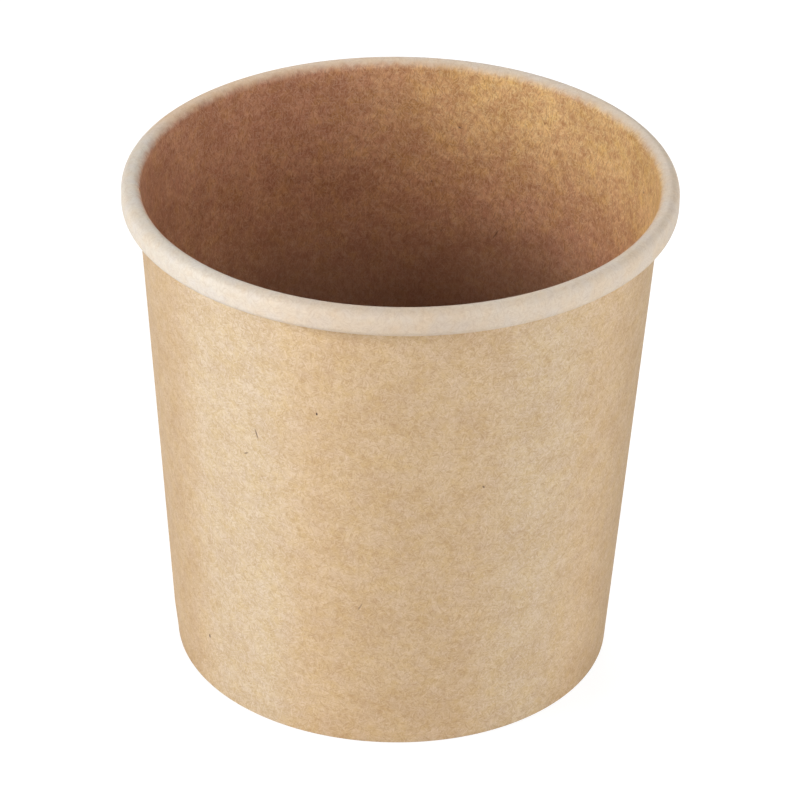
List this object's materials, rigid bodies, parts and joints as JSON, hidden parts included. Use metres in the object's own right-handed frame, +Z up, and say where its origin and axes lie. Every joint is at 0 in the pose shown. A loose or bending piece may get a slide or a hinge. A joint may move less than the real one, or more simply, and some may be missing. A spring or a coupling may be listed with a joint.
{
  "type": "paper ice cream tub",
  "caption": "Open tapered round paper tub of about 350 ml, with a rolled rim, a lapped side seam and a recessed bottom disc clamped in a folded foot.",
  "frame": {"origin": "centre of the foot ring, on the surface that the tub stands on", "axes": "+Z up along the tub's axis; the side seam is near -X and the picture looks along +Y"},
  "size_m": [0.09, 0.09, 0.0856],
  "materials": {
    "wall_paper": "matte brown kraft paper outside, faintly coated inside and over the pale rolled rim",
    "bottom_paper": "matte brown kraft paper, faintly coated on the side that faces the food"
  },
  "bodies": {
    "root": {"side_wall": "wall_paper", "bottom_disc": "bottom_paper"}
  },
  "joints": []
}
